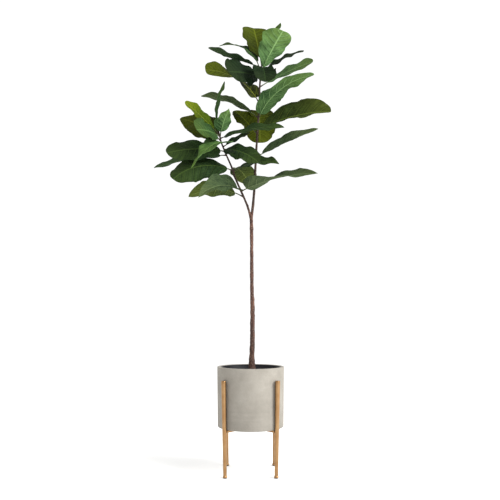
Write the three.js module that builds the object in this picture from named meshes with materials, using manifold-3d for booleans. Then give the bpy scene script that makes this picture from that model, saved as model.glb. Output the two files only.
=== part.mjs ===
// A potted fiddle leaf fig: a forked woody stem with thirty-three waved leaves, standing in soil in
// a lined round planter, on a four-legged metal stand. Millimetres, +Z up, front towards -Y.
// The origin lies on the floor, under the middle of the whole plant's box.
import * as THREE from "three";
import { mergeVertices } from "three/addons/utils/BufferGeometryUtils.js";
import Module from "manifold-3d";

const wasm = await Module();
wasm.setup();

const GAP = 0.3; // clearance between pieces that touch
const ROUND_SIDES = 40; // sides of the pot, the liner and the soil
const EDGE_STEPS = 3; // chords of a rounded edge
const WELD = 1e-4; // points nearer than this are one

// The foliage reaches further left and forwards, so the pot's axis stands off the box's middle.
const AXIS = { x: 47, y: 12 };

const POT = {
  bottom: 203, // underside above the floor
  rim: 473,
  rimRadius: 155,
  bottomRadius: 151.5,
  wall: 14.5,
  floor: 14,
  edge: 4, // rounding of the rim and of the bottom edge
};
const LINER = { wall: 2, lip: 4, belowRim: 1.5, clearance: 0.6, bottomInset: 6 };
const SOIL = {
  belowRim: 26,
  crown: 5, // how much higher it stands at the trunk
  shoulder: { radius: 0.55, height: 0.6 }, // where the heap flattens, as shares
};
const STEM_HOLE = { swell: 1.03 }; // the hole follows the trunk's buried end with a little room

const LEG = {
  top: 420,
  topRadius: 11.2,
  ankleRadius: 8,
  footRadius: 10.2,
  footHeight: 7,
  footBevel: 1,
  footTaper: { from: -2, to: 1 }, // heights by the ankle where the foot narrows to the leg
  topRound: { edge: 4, shoulder: 1 }, // rounding of the top
  sides: 12,
  topSpread: 169.6, // leg's axis from the pot's axis, at the top
  footSpread: 158.5, // and at the floor
};
const PAD = { thickness: 3, radius: 8.4 };
const BAR = { width: 16, height: 9 };

// Centre lines of the woody parts as [x, y, z], from the pot's axis, and radius as [z, radius].
const TRUNK = [
  [6, 0, 330], [6, 0, 447], [6, 0, 525], [8, 1, 568], [9, 2, 687], [9, 1, 745],
  [6, -1, 835], [5, -2, 926], [5, -1, 1047], [4, 0, 1140], [2, 0, 1190],
];
const TRUNK_RADIUS = [
  [330, 12], [440, 18], [470, 16.3], [520, 12.4], [570, 11.8], [690, 10.9],
  [835, 9.2], [926, 8.7], [1047, 8.1], [1130, 8.8], [1190, 7.2],
];
const LEADER = [
  [2, 0, 1150], [12, 2, 1240], [17, 3, 1300], [22, 5, 1393], [27, 5, 1500], [32, 6, 1573],
  [37, 8, 1645], [41, 5, 1702], [45, 2, 1832], [57, 0, 1962],
];
const LEADER_RADIUS = [[1150, 6.6], [1300, 6.2], [1500, 5.6], [1800, 4.6], [1962, 3.8]];
const SIDE = [
  [4, 0, 1150], [-4, -2, 1190], [-16, -6, 1232], [-38, -14, 1282], [-61, -22, 1332],
  [-76, -30, 1366], [-92, -40, 1415], [-109, -46, 1452], [-122, -50, 1482],
  [-141, -55, 1530], [-153, -58, 1582],
];
const SIDE_RADIUS = [[1150, 6], [1250, 5.8], [1400, 5], [1582, 3.8]];
const STEM_SIDES = { trunk: 10, branch: 8 };
const BARK_STEP = 28; // height between the rings of the bark's skin
const BARK_RING = { spacing: 56, swell: 0.06 }; // old leaf scars ring the bark
const SCAR = { radius: 3.7, taper: 0.85, length: 5, clearance: 4, root: 1, sides: 5 }; // leaf boss
const BUD = {
  radius: 5,
  length: 42,
  clearance: 0.9, // above the end of the leader
  profile: [[0.7, 0], [1, 0.2], [0.8, 0.55], [0.3, 0.9]], // shares of the radius and the length
  sides: 10,
};

// Leaf blades: outline u^base * (1 - u)^tip, a waved edge and a midrib that stands below.
const BLADE = {
  thickness: 1.4,
  tipHalfWidth: 2.2,
  waves: 2.6,
  waveShift: 0.17,
  ribDepth: 2,
  stations: 12,
  stalkStations: 3,
};
const STALK_RADIUS = 2.6;
const MIDRIB_STEPS = 40;
const WAVE_PHASE_STEP = 0.37; // each leaf's waves start elsewhere

// Each leaf: the height where it leaves its stem, then in degrees its heading seen from above
// (0 right, 90 back), its rise, how far it arches over, its sway sideways, its roll about the
// midrib and the twist from stalk to tip, then the lengths of stalk and blade and the blade's
// width, then the powers that shape its outline at the base and at the tip, then the fold of
// its halves in degrees, down where it is negative, and the height of its waves.
const LEADER_LEAVES = [
  ["leaf_crown_back", 1936, 108, 66, 6, 0, 0, 0, 30, 232, 155, 0.6, 0.3, 10, 6],
  ["leaf_crown_front", 1900, -50, 50, 14, 0, 0, 0, 12, 196, 168, 0.75, 0.3, 8, 6],
  ["leaf_crown_spike", 1943, 14, 62, -10, 0, 16, 0, 30, 196, 80, 0.5, 0.6, 12, 5],
  ["leaf_crown_left", 1890, 162, 76, 84, 0, -24, 0, 35, 244, 84, 0.5, 0.5, 8, 4],
  ["leaf_dark_right", 1894, 20, 42, 18, 0, 28, 0, 45, 225, 66, 0.5, 0.5, 8, 6],
  ["leaf_upper_left_long", 1924, -152, 5, -5, 0, -14, 0, 40, 240, 95, 0.55, 0.4, 8, 3],
  ["leaf_broad_left", 1874, -134, -3, 16, 0, -62, 0, 25, 190, 166, 0.5, 0.36, 6, 7],
  ["leaf_dark_centre", 1922, -84, -20, 46, 0, 0, 0, 25, 172, 118, 0.5, 0.36, 14, 7],
  ["leaf_yellow_tip", 1742, 172, 62, 58, 0, -52, 84, 15, 312, 128, 0.2, 0.28, 8, 5],
  ["leaf_right_upper", 1823, 15, 37, 14, 0, -12, 0, 40, 274, 100, 0.55, 0.4, 8, 5],
  ["leaf_right_big", 1668, -62, 39, 32, 50, -10, 0, 12, 338, 108, 0.34, 0.55, 6, 8],
  ["leaf_grey_left", 1668, 168, 41, 34, 0, 4, 0, 35, 282, 112, 0.5, 0.7, 8, 5],
  ["leaf_behind_upper", 1588, 138, 48, 4, 0, -30, 0, 30, 168, 102, 0.5, 0.5, 8, 6],
  ["leaf_behind_hanging", 1704, 88, 26, 99, 0, 0, 0, 40, 235, 165, 0.5, 0.36, 8, 9],
  ["leaf_big_right", 1607, -22, 20, 27, 0, 50, 0, 20, 342, 176, 0.55, 0.5, 24, 4],
  ["leaf_narrow_right", 1472, 2, 29, 8, 0, 40, 0, 25, 302, 90, 0.55, 0.7, 24, 3],
];
const SIDE_LEAVES = [
  ["leaf_spike", 1580, 172, 74, -46, 0, 30, 0, 40, 206, 74, 0.8, 0.6, 12, 4],
  ["leaf_yellow_up_left", 1562, 176, 50, 11, 0, 24, 0, 30, 195, 86, 0.5, 0.5, 8, 5],
  ["leaf_olive_left", 1534, 143, 44, 26, 0, -60, 0, 30, 278, 138, 0.5, 0.85, 8, 7],
  ["leaf_front_left", 1556, -120, 4, 22, 0, -58, 0, 25, 158, 128, 0.5, 0.4, 8, 6],
  ["leaf_light_front", 1552, -74, 48, 6, 22, 6, 0, 16, 122, 84, 0.5, 0.95, 10, 5],
  ["leaf_crossing", 1546, -20, 16, 26, 0, 36, 0, 10, 302, 104, 0.5, 0.6, 6, 6],
  ["leaf_thin_dark", 1506, 45, 34, 6, 0, 24, 0, 18, 186, 42, 0.5, 0.6, 8, 3],
  ["leaf_rounded_centre", 1494, -50, -12, 26, 0, 42, 0, 5, 262, 98, 0.4, 0.4, 6, 7],
  ["leaf_down_left", 1522, -88, -7, 54, -74, -10, 0, 10, 308, 130, 0.25, 1.1, 12, 7],
  ["leaf_rounded_left", 1484, -158, 4, 24, 0, -56, 0, 12, 264, 136, 0.5, 0.4, -6, 6],
  ["leaf_pointed_left", 1466, 168, 3, 20, 0, 6, 0, 20, 340, 100, 0.5, 0.8, 8, 5],
  ["leaf_pointed_centre", 1392, -32, 20, 42, 0, 36, 0, 30, 218, 100, 0.5, 0.8, 8, 7],
  ["leaf_between", 1406, 66, 17, 58, 0, -10, 0, 30, 170, 120, 0.5, 0.4, 8, 5],
  ["leaf_low_left", 1394, -158, 17, 62, 0, -58, 0, 18, 286, 142, 0.5, 0.4, -12, 7],
  ["leaf_front_low", 1306, -129, 8, 50, 0, -42, 0, 10, 288, 136, 0.3, 1.0, 22, 7],
  ["leaf_under_left", 1270, 162, 32, 58, 0, 26, 0, 40, 250, 134, 0.5, 0.85, 8, 6],
  ["leaf_low_right", 1298, -36, 16, 22, 10, -28, 96, 22, 372, 138, 0.3, 0.85, 17, 4],
];

const MATERIALS = {
  wood: { color: 0x4b3a33, roughness: 0.85 },
  leafDark: { color: 0x2f4a2a, roughness: 0.45 },
  leafPale: { color: 0x6c955a, roughness: 0.6 },
  leafOlive: { color: 0x5c6b20, roughness: 0.5 },
  bud: { color: 0x7da564, roughness: 0.6 },
  concrete: { color: 0xb4b0a3, roughness: 0.9 },
  linerPlastic: { color: 0x17181c, roughness: 0.5 },
  soil: { color: 0x231c18, roughness: 1 },
  gilt: { color: 0xc9955f, roughness: 0.32, metalness: 0.85 },
  pad: { color: 0x1c1a19, roughness: 0.7 },
};
const TONES = {
  leafPale: /crown_front|right_upper|right_big|grey_left|light_front|narrow_right|low_right$/,
  leafOlive: /crown_back|yellow|behind|olive|under_left/,
};

const material = (name) => new THREE.MeshStandardMaterial({ metalness: 0, ...MATERIALS[name] });

function piece(name, geometry, finish) {
  const mesh = new THREE.Mesh(geometry, material(finish));
  mesh.name = name;
  return mesh;
}

// Value at z on a line of [z, value] rows.
function along(rows, z) {
  const next = rows.findIndex((row) => row[0] >= z);
  if (next < 0) return rows.at(-1)[1];
  if (next === 0) return rows[0][1];
  const [a, b] = [rows[next - 1], rows[next]];
  return THREE.MathUtils.mapLinear(z, a[0], b[0], a[1], b[1]);
}

function stemPoint(line, z) {
  const x = along(line.map((p) => [p[2], p[0]]), z);
  const y = along(line.map((p) => [p[2], p[1]]), z);
  return new THREE.Vector3(x, y, z);
}

// Closed skin over rings of equal count: quads between rings, fans over both ends.
function loft(rings, forwardDiagonal = () => true) {
  const count = rings[0].length;
  const position = rings.flat().flatMap((p) => p.toArray());
  const index = [];
  for (let i = 0; i + 1 < rings.length; i++) {
    for (let j = 0; j < count; j++) {
      const k = (j + 1) % count;
      const [a, b, c, d] = [i * count + j, i * count + k, (i + 1) * count + k, (i + 1) * count + j];
      index.push(...(forwardDiagonal(j) ? [a, b, c, a, c, d] : [a, b, d, b, c, d]));
    }
  }
  const last = (rings.length - 1) * count;
  for (let j = 1; j + 1 < count; j++) {
    index.push(0, j + 1, j, last, last + j, last + j + 1);
  }
  const geometry = new THREE.BufferGeometry();
  geometry.setAttribute("position", new THREE.Float32BufferAttribute(position, 3));
  geometry.setIndex(index);
  return geometry;
}

function ring(centre, right, up, radius, sides, start = 0) {
  return Array.from({ length: sides }, (_, i) => {
    const turn = start + (2 * Math.PI * i) / sides;
    const out = right.clone().multiplyScalar(Math.cos(turn) * radius);
    return out.addScaledVector(up, Math.sin(turn) * radius).add(centre);
  });
}

// Horizontal rings up a stem's centre line; the bark swells a little at each old leaf scar.
function stemTube(line, radii, sides, step) {
  const [low, high] = [line[0][2], line.at(-1)[2]];
  const count = Math.ceil((high - low) / step);
  const right = new THREE.Vector3(1, 0, 0);
  const back = new THREE.Vector3(0, 1, 0);
  const rings = [];
  for (let i = 0; i <= count; i++) {
    const z = THREE.MathUtils.lerp(low, high, i / count);
    const swell = 1 + BARK_RING.swell * Math.cos((2 * Math.PI * z) / BARK_RING.spacing);
    rings.push(ring(stemPoint(line, z), right, back, along(radii, z) * swell, sides));
  }
  return loft(rings);
}

function toSolid(geometry) {
  const bare = geometry.clone();
  bare.deleteAttribute("normal");
  bare.deleteAttribute("uv");
  const merged = mergeVertices(bare, WELD);
  return new wasm.Manifold(new wasm.Mesh({
    numProp: 3,
    vertProperties: new Float32Array(merged.attributes.position.array),
    triVerts: new Uint32Array(merged.index.array),
  }));
}

function toGeometry(solid) {
  const mesh = solid.getMesh();
  const geometry = new THREE.BufferGeometry();
  geometry.setAttribute("position", new THREE.BufferAttribute(mesh.vertProperties, 3));
  geometry.setIndex(new THREE.BufferAttribute(mesh.triVerts, 1));
  return geometry;
}

// Turned solid about +Z from a profile of [radius, z] points.
function turned(profile, sides) {
  const points = profile.map(([radius, z]) => new THREE.Vector2(radius, z));
  return new THREE.LatheGeometry(points, sides).rotateX(Math.PI / 2);
}

// One leaf's own values by name, with its angles in radians.
function leafValues(stem, row) {
  const [name, height, ...rest] = row;
  const [heading, rise, arch, sway, roll, twist] = rest.slice(0, 6).map(THREE.MathUtils.degToRad);
  const [stalk, blade, width, base, tip, foldDegrees, wave] = rest.slice(6);
  const fold = THREE.MathUtils.degToRad(foldDegrees);
  return { name, stem, height, heading, rise, arch, sway, roll, twist, stalk, blade, width, base,
    tip, fold, wave };
}

// Direction of the midrib at a share of its length, with the blade's left and upper directions.
function leafFrame(leaf, share) {
  const climb = leaf.rise - leaf.arch * share;
  const turn = leaf.heading + leaf.sway * share;
  const roll = leaf.roll + leaf.twist * share;
  const ahead = new THREE.Vector3(
    Math.cos(climb) * Math.cos(turn), Math.cos(climb) * Math.sin(turn), Math.sin(climb));
  const level = new THREE.Vector3(-Math.sin(turn), Math.cos(turn), 0);
  const above = ahead.clone().cross(level);
  const left = level.clone().multiplyScalar(Math.cos(roll)).addScaledVector(above, Math.sin(roll));
  const upper = ahead.clone().cross(left);
  return { ahead, left, upper };
}

// A steep stalk beside its stem has a longer boss, so that it stands clear of the bark.
function scarEnd(leaf) {
  const { line, radii } = leaf.stem;
  const bark = along(radii, leaf.height);
  const clear = (bark + SCAR.clearance) / Math.cos(leaf.rise);
  const beside = leaf.height < line.at(-1)[2] - SCAR.length;
  const reach = beside ? Math.max(bark + SCAR.length, clear) : bark + SCAR.length;
  return stemPoint(line, leaf.height).addScaledVector(leafFrame(leaf, 0).ahead, reach);
}

function scarBoss(leaf) {
  const { ahead, left, upper } = leafFrame(leaf, 0);
  const root = stemPoint(leaf.stem.line, leaf.height).addScaledVector(ahead, SCAR.root);
  return loft([
    ring(root, left, upper, SCAR.radius, SCAR.sides),
    ring(scarEnd(leaf), left, upper, SCAR.radius * SCAR.taper, SCAR.sides),
  ]);
}

// Point of the midrib at a distance from the stalk's root, summed in small straight steps.
function midribPoint(leaf, distance) {
  const total = leaf.stalk + leaf.blade;
  const point = scarEnd(leaf).addScaledVector(leafFrame(leaf, 0).ahead, GAP);
  for (let i = 0; i < MIDRIB_STEPS; i++) {
    const middle = ((i + 0.5) * distance) / MIDRIB_STEPS;
    point.addScaledVector(leafFrame(leaf, middle / total).ahead, distance / MIDRIB_STEPS);
  }
  return point;
}

function bladeHalfWidth(leaf, u) {
  const widest = leaf.base / (leaf.base + leaf.tip);
  const outline = (x) => x ** leaf.base * (1 - x) ** leaf.tip;
  return Math.max((leaf.width / 2) * (outline(u) / outline(widest)), BLADE.tipHalfWidth);
}

// Height of the blade over its midrib plane: both halves fold alike and the edges wave out of step.
function bladeLift(leaf, u, v, halfWidth, phase) {
  const turns = BLADE.waves * u + BLADE.waveShift * Math.sign(v) + phase;
  const waved = leaf.wave * v * v * Math.sin(2 * Math.PI * turns) * Math.sqrt(Math.sin(Math.PI * u));
  return halfWidth * Math.abs(v) * Math.sin(leaf.fold) + (waved || 0);
}

// Stalk and blade in one skin. Each ring has five points on the upper face and five below, and
// both faces are split along the same diagonals, so that the blade keeps its thickness.
function leafBody(leaf, phase) {
  const across = [1, 0.5, 0, -0.5, -1];
  const ringSides = 2 * across.length;
  const total = leaf.stalk + leaf.blade;
  const rings = [];
  for (let i = 0; i < BLADE.stalkStations; i++) {
    const distance = (leaf.stalk * i) / BLADE.stalkStations;
    const { left, upper } = leafFrame(leaf, distance / total);
    const centre = midribPoint(leaf, distance);
    rings.push(ring(centre, left, upper, STALK_RADIUS, ringSides, Math.PI / ringSides));
  }
  for (let i = 0; i <= BLADE.stations; i++) {
    const u = 0.5 - 0.5 * Math.cos((Math.PI * i) / BLADE.stations);
    const distance = leaf.stalk + leaf.blade * u;
    const { left, upper } = leafFrame(leaf, distance / total);
    const centre = midribPoint(leaf, distance);
    const half = bladeHalfWidth(leaf, u);
    const rib = (v) => (v === 0 ? BLADE.ribDepth * (1 - u) : 0);
    const point = (v, offset) => centre.clone()
      .addScaledVector(left, half * v * Math.cos(leaf.fold))
      .addScaledVector(upper, bladeLift(leaf, u, v, half, phase) + offset);
    const above = across.map((v) => point(v, BLADE.thickness / 2));
    const below = across.toReversed().map((v) => point(v, -BLADE.thickness / 2 - rib(v)));
    rings.push([...above, ...below]);
  }
  return loft(rings, (j) => j < across.length);
}

function leafTone(name) {
  return Object.keys(TONES).find((tone) => TONES[tone].test(name)) ?? "leafDark";
}

function addLeaves(plant, stem, rows) {
  rows.forEach((row, i) => {
    const leaf = leafValues(stem, row);
    plant.add(piece(leaf.name, leafBody(leaf, WAVE_PHASE_STEP * i), leafTone(leaf.name)));
  });
}

// Trunk, leader and side branch, grown as one, with a boss under each leaf stalk.
function woodyStem() {
  let wood = toSolid(stemTube(TRUNK, TRUNK_RADIUS, STEM_SIDES.trunk, BARK_STEP));
  for (const [stem, rows] of [[leader, LEADER_LEAVES], [side, SIDE_LEAVES]]) {
    wood = wood.add(toSolid(stemTube(stem.line, stem.radii, STEM_SIDES.branch, BARK_STEP)));
    for (const row of rows) {
      wood = wood.add(toSolid(scarBoss(leafValues(stem, row))));
    }
  }
  return wood;
}

// Pointed sheath round the growing tip, standing on the leader's end.
function budSheath() {
  const [end, before] = [LEADER.at(-1), LEADER.at(-2)].map((p) => new THREE.Vector3(...p));
  const ahead = end.clone().sub(before).normalize();
  const profile = [[0, 0], ...BUD.profile, [0, 1]];
  const body = turned(profile.map(([r, z]) => [r * BUD.radius, z * BUD.length]), BUD.sides);
  const turn = new THREE.Quaternion().setFromUnitVectors(new THREE.Vector3(0, 0, 1), ahead);
  const mesh = piece("bud_sheath", body, "bud");
  mesh.quaternion.copy(turn);
  mesh.position.copy(end).addScaledVector(ahead, BUD.clearance);
  return mesh;
}

// Quarter turn of a rounded edge, as [radius, z] points.
function roundedEdge(radius, z, size, from) {
  return Array.from({ length: EDGE_STEPS + 1 }, (_, i) => {
    const turn = from + (Math.PI / 2) * (i / EDGE_STEPS);
    return [radius + size * Math.cos(turn), z + size * Math.sin(turn)];
  });
}

function pot() {
  const { bottom, rim, rimRadius, bottomRadius, wall, floor, edge } = POT;
  const lip = edge / 2;
  return turned([
    [0, bottom],
    ...roundedEdge(bottomRadius - edge, bottom + edge, edge, -Math.PI / 2),
    ...roundedEdge(rimRadius - lip, rim - lip, lip, 0),
    ...roundedEdge(rimRadius - wall + lip, rim - lip, lip, Math.PI / 2),
    [bottomRadius - wall, bottom + floor],
    [0, bottom + floor],
  ], ROUND_SIDES);
}

// Outer radius of the thin nursery liner at a height; it tapers more than the pot does.
function linerRadiusAt(z) {
  const low = POT.bottomRadius - POT.wall - LINER.bottomInset;
  const high = POT.rimRadius - POT.wall - LINER.clearance;
  return THREE.MathUtils.mapLinear(z, POT.bottom + POT.floor, POT.rim, low, high);
}

function liner() {
  const top = POT.rim - LINER.belowRim;
  const low = POT.bottom + POT.floor + GAP;
  const { wall, lip } = LINER;
  return turned([
    [0, low],
    [linerRadiusAt(low), low],
    [linerRadiusAt(top), top],
    [linerRadiusAt(top) - lip, top],
    [linerRadiusAt(top - lip) - lip, top - lip],
    [linerRadiusAt(top - lip) - wall, top - lip - wall],
    [linerRadiusAt(low + wall) - wall, low + wall],
    [0, low + wall],
  ], ROUND_SIDES);
}

// Soil heaped a little towards the trunk, with a plain blind hole that the trunk stands in.
function soil() {
  const top = POT.rim - SOIL.belowRim;
  const low = POT.bottom + POT.floor + LINER.wall + 2 * GAP;
  const radiusAt = (z) => linerRadiusAt(z) - LINER.wall - GAP;
  const body = toSolid(turned([
    [0, low],
    [radiusAt(low), low],
    [radiusAt(top), top],
    [radiusAt(top) * SOIL.shoulder.radius, top + SOIL.crown * SOIL.shoulder.height],
    [0, top + SOIL.crown],
  ], ROUND_SIDES));
  const sleeve = TRUNK_RADIUS.map(([z, radius]) => [z, radius * STEM_HOLE.swell + GAP]);
  const hole = TRUNK.slice(0, 3).map((p) => [...p]);
  hole[0][2] -= GAP;
  return body.subtract(toSolid(stemTube(hole, sleeve, STEM_SIDES.trunk, BARK_STEP)));
}

function legRadiusAt(z) {
  const ankle = LEG.footHeight + PAD.thickness;
  return THREE.MathUtils.mapLinear(z, ankle, LEG.top, LEG.ankleRadius, LEG.topRadius);
}

function legSpreadAt(z) {
  return THREE.MathUtils.mapLinear(z, 0, LEG.top, LEG.footSpread, LEG.topSpread);
}

// One round leg, tapering down to a small flared foot; it leans out towards its top.
function leg() {
  const low = PAD.thickness + 2 * GAP;
  const ankle = PAD.thickness + LEG.footHeight;
  const { top, topRadius, ankleRadius, footRadius, footSpread, topSpread } = LEG;
  const { footBevel, footTaper } = LEG;
  const { edge, shoulder } = LEG.topRound;
  const body = turned([
    [0, low],
    [footRadius - footBevel, low],
    [footRadius, low + footBevel],
    [footRadius, ankle + footTaper.from],
    [ankleRadius, ankle + footTaper.to],
    [topRadius, top - edge],
    [topRadius - shoulder, top - shoulder],
    [topRadius - edge, top],
    [0, top],
  ], LEG.sides);
  const lean = Math.atan((topSpread - footSpread) / top);
  return body.rotateZ(Math.PI / LEG.sides).rotateY(lean).translate(footSpread, 0, 0);
}

function pad() {
  return turned([
    [0, 0], [PAD.radius, 0], [PAD.radius, PAD.thickness], [0, PAD.thickness],
  ], LEG.sides).translate(LEG.footSpread, 0, 0);
}

// Bar under the pot between two opposite legs, with a half-lap notch where the other one crosses.
function bar(notchAbove) {
  const top = POT.bottom - GAP;
  const low = top - BAR.height;
  const end = legSpreadAt(low) - legRadiusAt(top) - GAP;
  const middle = (top + low) / 2 + (notchAbove ? -GAP / 2 : GAP / 2);
  const half = BAR.width / 2 + GAP;
  const outline = new THREE.Shape();
  const corners = notchAbove
    ? [[-end, low], [end, low], [end, top], [half, top], [half, middle], [-half, middle],
      [-half, top], [-end, top]]
    : [[-end, low], [-half, low], [-half, middle], [half, middle], [half, low], [end, low],
      [end, top], [-end, top]];
  outline.setFromPoints(corners.map(([x, z]) => new THREE.Vector2(x, z)));
  const body = new THREE.ExtrudeGeometry(outline, { depth: BAR.width, bevelEnabled: false });
  return body.translate(0, 0, -BAR.width / 2).rotateX(Math.PI / 2);
}

const leader = { line: LEADER, radii: LEADER_RADIUS };
const side = { line: SIDE, radii: SIDE_RADIUS };

const plant = new THREE.Group();
plant.add(piece("woody_stem", toGeometry(woodyStem()), "wood"));
plant.add(budSheath());
addLeaves(plant, leader, LEADER_LEAVES);
addLeaves(plant, side, SIDE_LEAVES);

const planter = new THREE.Group();
planter.add(piece("pot", pot(), "concrete"));
planter.add(piece("liner", liner(), "linerPlastic"));
planter.add(piece("soil", toGeometry(soil()), "soil"));

const stand = new THREE.Group();
const CORNERS = ["back_right", "back_left", "front_left", "front_right"];
CORNERS.forEach((corner, i) => {
  const turn = Math.PI / 4 + (Math.PI / 2) * i;
  const legMesh = piece(`stand_leg_${corner}`, leg(), "gilt");
  const padMesh = piece(`foot_pad_${corner}`, pad(), "pad");
  legMesh.rotation.z = turn;
  padMesh.rotation.z = turn;
  stand.add(legMesh, padMesh);
});
["stand_bar_rising", "stand_bar_falling"].forEach((name, i) => {
  const mesh = piece(name, bar(i === 0), "gilt");
  mesh.rotation.z = Math.PI / 4 + (Math.PI / 2) * i;
  stand.add(mesh);
});

const fig = new THREE.Group();
fig.add(stand, planter, plant);
fig.position.set(AXIS.x, AXIS.y, 0);

export default fig;
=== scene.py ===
"""A potted fiddle leaf fig: its finishes and fine shapes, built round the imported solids. The scene
is in metres, +Z up, front towards -Y. Its pieces are worked out in millimetres from the pot's axis
on the floor, and MM and AXIS bring them into the scene."""

import itertools

import bpy
import numpy as np
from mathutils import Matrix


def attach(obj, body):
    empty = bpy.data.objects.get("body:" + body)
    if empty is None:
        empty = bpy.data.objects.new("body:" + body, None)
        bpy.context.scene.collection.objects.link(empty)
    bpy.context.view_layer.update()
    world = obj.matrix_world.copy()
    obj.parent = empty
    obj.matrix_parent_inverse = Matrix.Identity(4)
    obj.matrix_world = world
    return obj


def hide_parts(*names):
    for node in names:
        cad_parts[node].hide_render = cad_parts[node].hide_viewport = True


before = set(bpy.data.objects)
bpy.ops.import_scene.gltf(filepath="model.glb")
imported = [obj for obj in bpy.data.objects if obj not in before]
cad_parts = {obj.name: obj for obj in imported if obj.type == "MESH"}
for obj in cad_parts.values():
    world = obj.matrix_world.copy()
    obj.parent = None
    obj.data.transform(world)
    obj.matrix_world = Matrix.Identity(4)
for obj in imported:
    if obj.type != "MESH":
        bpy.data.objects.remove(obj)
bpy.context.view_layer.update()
scene = bpy.context.scene

# ------------------------------------------------------------
# Woody stem. A bare trunk that forks into a leader and a side branch, all grown as one, in
# reddish brown bark with a low ring at each old leaf scar. A short boss stands under each leaf
# stalk. The trunk's lower end is planted in the soil.

MM = 0.001
AXIS = np.array([47, 12, 0]) * MM

# Centre lines as x, y, z and radii as z, radius.
TRUNK = np.array([
    [6, 0, 330], [6, 0, 447], [6, 0, 525], [8, 1, 568], [9, 2, 687], [9, 1, 745],
    [6, -1, 835], [5, -2, 926], [5, -1, 1047], [4, 0, 1140], [2, 0, 1190],
])
TRUNK_RADIUS = np.array([
    [330, 12], [440, 18], [470, 16.3], [520, 12.4], [570, 11.8], [690, 10.9],
    [835, 9.2], [926, 8.7], [1047, 8.1], [1130, 8.8], [1190, 7.2],
])
LEADER = np.array([
    [2, 0, 1150], [12, 2, 1240], [17, 3, 1300], [22, 5, 1393], [27, 5, 1500], [32, 6, 1573],
    [37, 8, 1645], [41, 5, 1702], [45, 2, 1832], [57, 0, 1962],
])
LEADER_RADIUS = np.array([[1150, 6.6], [1300, 6.2], [1500, 5.6], [1800, 4.6], [1962, 3.8]])
SIDE = np.array([
    [4, 0, 1150], [-4, -2, 1190], [-16, -6, 1232], [-38, -14, 1282], [-61, -22, 1332],
    [-76, -30, 1366], [-92, -40, 1415], [-109, -46, 1452], [-122, -50, 1482],
    [-141, -55, 1530], [-153, -58, 1582],
])
SIDE_RADIUS = np.array([[1150, 6], [1250, 5.8], [1400, 5], [1582, 3.8]])

# Each leaf: its node, the height where it leaves its stem, then in degrees its heading seen from
# above (0 right, 90 back), rise, arch, sway, roll and twist, then the lengths of stalk and blade,
# the blade's width, its outline's exponents at base and tip, the fold of its halves in degrees,
# the height of its waves, and its tone.
LEADER_LEAVES = [
    ("crown_back", 1936, 108, 66, 6, 0, 0, 0, 30, 232, 155, 0.6, 0.3, 10, 6, "olive"),
    ("crown_front", 1900, -50, 50, 14, 0, 0, 0, 12, 196, 168, 0.75, 0.3, 8, 6, "fresh"),
    ("crown_spike", 1943, 14, 62, -10, 0, 16, 0, 30, 196, 80, 0.5, 0.6, 12, 5, "fresh"),
    ("crown_left", 1890, 162, 76, 84, 0, -24, 0, 35, 244, 84, 0.5, 0.5, 8, 4, "mid"),
    ("dark_right", 1894, 20, 42, 18, 0, 28, 0, 45, 225, 66, 0.5, 0.5, 8, 6, "shade"),
    ("upper_left_long", 1924, -152, 5, -5, 0, -14, 0, 40, 240, 95, 0.55, 0.4, 8, 3, "deep"),
    ("broad_left", 1874, -134, -3, 16, 0, -62, 0, 25, 190, 166, 0.5, 0.36, 6, 7, "shade"),
    ("dark_centre", 1922, -84, -20, 46, 0, 0, 0, 25, 172, 118, 0.5, 0.36, 14, 7, "shade"),
    ("yellow_tip", 1742, 172, 62, 58, 0, -52, 84, 15, 312, 128, 0.2, 0.28, 8, 5, "yellow"),
    ("right_upper", 1823, 15, 37, 14, 0, -12, 0, 40, 274, 100, 0.55, 0.4, 8, 5, "mid"),
    ("right_big", 1668, -62, 39, 32, 50, -10, 0, 12, 338, 108, 0.34, 0.55, 6, 8, "fresh"),
    ("grey_left", 1668, 168, 41, 34, 0, 4, 0, 35, 282, 112, 0.5, 0.7, 8, 5, "grey"),
    ("behind_upper", 1588, 138, 48, 4, 0, -30, 0, 30, 168, 102, 0.5, 0.5, 8, 6, "olive"),
    ("behind_hanging", 1704, 88, 26, 99, 0, 0, 0, 40, 235, 165, 0.5, 0.36, 8, 9, "olive"),
    ("big_right", 1607, -22, 20, 27, 0, 50, 0, 20, 342, 176, 0.55, 0.5, 24, 4, "ripe"),
    ("narrow_right", 1472, 2, 29, 8, 0, 40, 0, 25, 302, 90, 0.55, 0.7, 24, 3, "grey"),
]
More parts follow.
